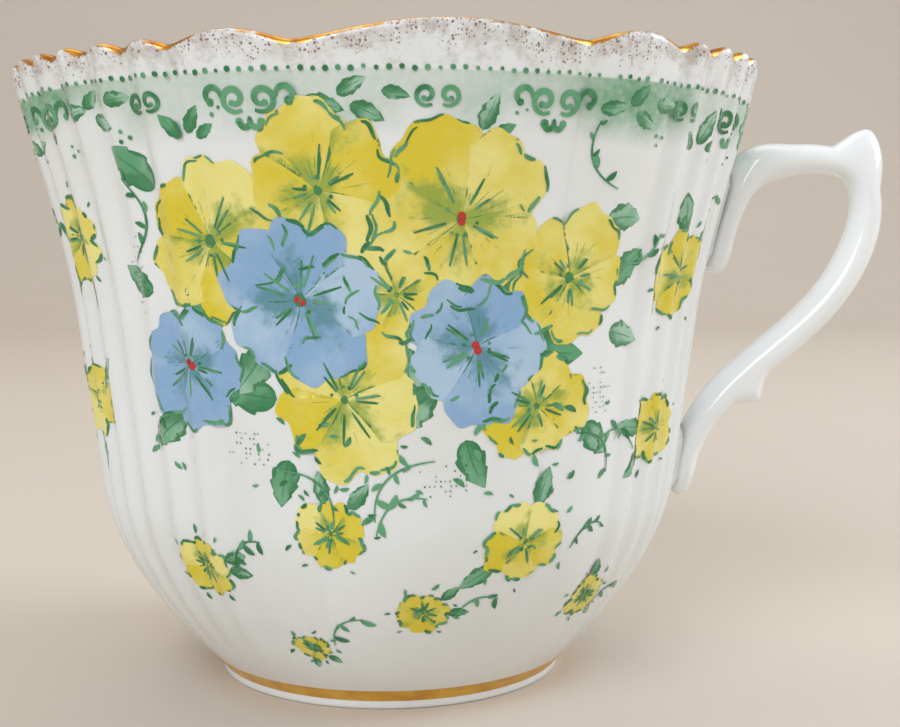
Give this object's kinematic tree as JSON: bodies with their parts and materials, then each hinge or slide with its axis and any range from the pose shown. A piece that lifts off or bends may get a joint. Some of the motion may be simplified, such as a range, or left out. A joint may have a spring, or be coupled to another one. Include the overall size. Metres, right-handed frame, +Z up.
{
  "type": "tea cup",
  "caption": "Fluted porcelain tea cup with a lobed gilt rim, smooth front and back panels, a round bowl on a low foot ring and a scrolled loop handle for holding hot drinks.",
  "frame": {"origin": "on the cup's axis, at the plane that the foot ring stands on", "axes": "+Z up along the cup's axis, +X from the axis towards the handle, -Y towards the front panel"},
  "size_m": [0.1008, 0.0842, 0.0695],
  "materials": {
    "porcelain": "white glaze with a printed and hand-tinted flower spray in green, yellow and blue",
    "handle_porcelain": "plain white glaze",
    "foot_porcelain": "plain white glaze, wiped bare where it stands",
    "slip": "fired joining slip under the glaze",
    "gilding": "thin fired gilding, worn"
  },
  "bodies": {
    "root": {"cup_body": "porcelain", "foot_ring": "foot_porcelain", "foot_slip_joint": "slip", "handle": "handle_porcelain", "upper_slip_joint": "slip", "lower_slip_joint": "slip", "rim_gilding": "gilding", "foot_gilding": "gilding"}
  },
  "joints": []
}
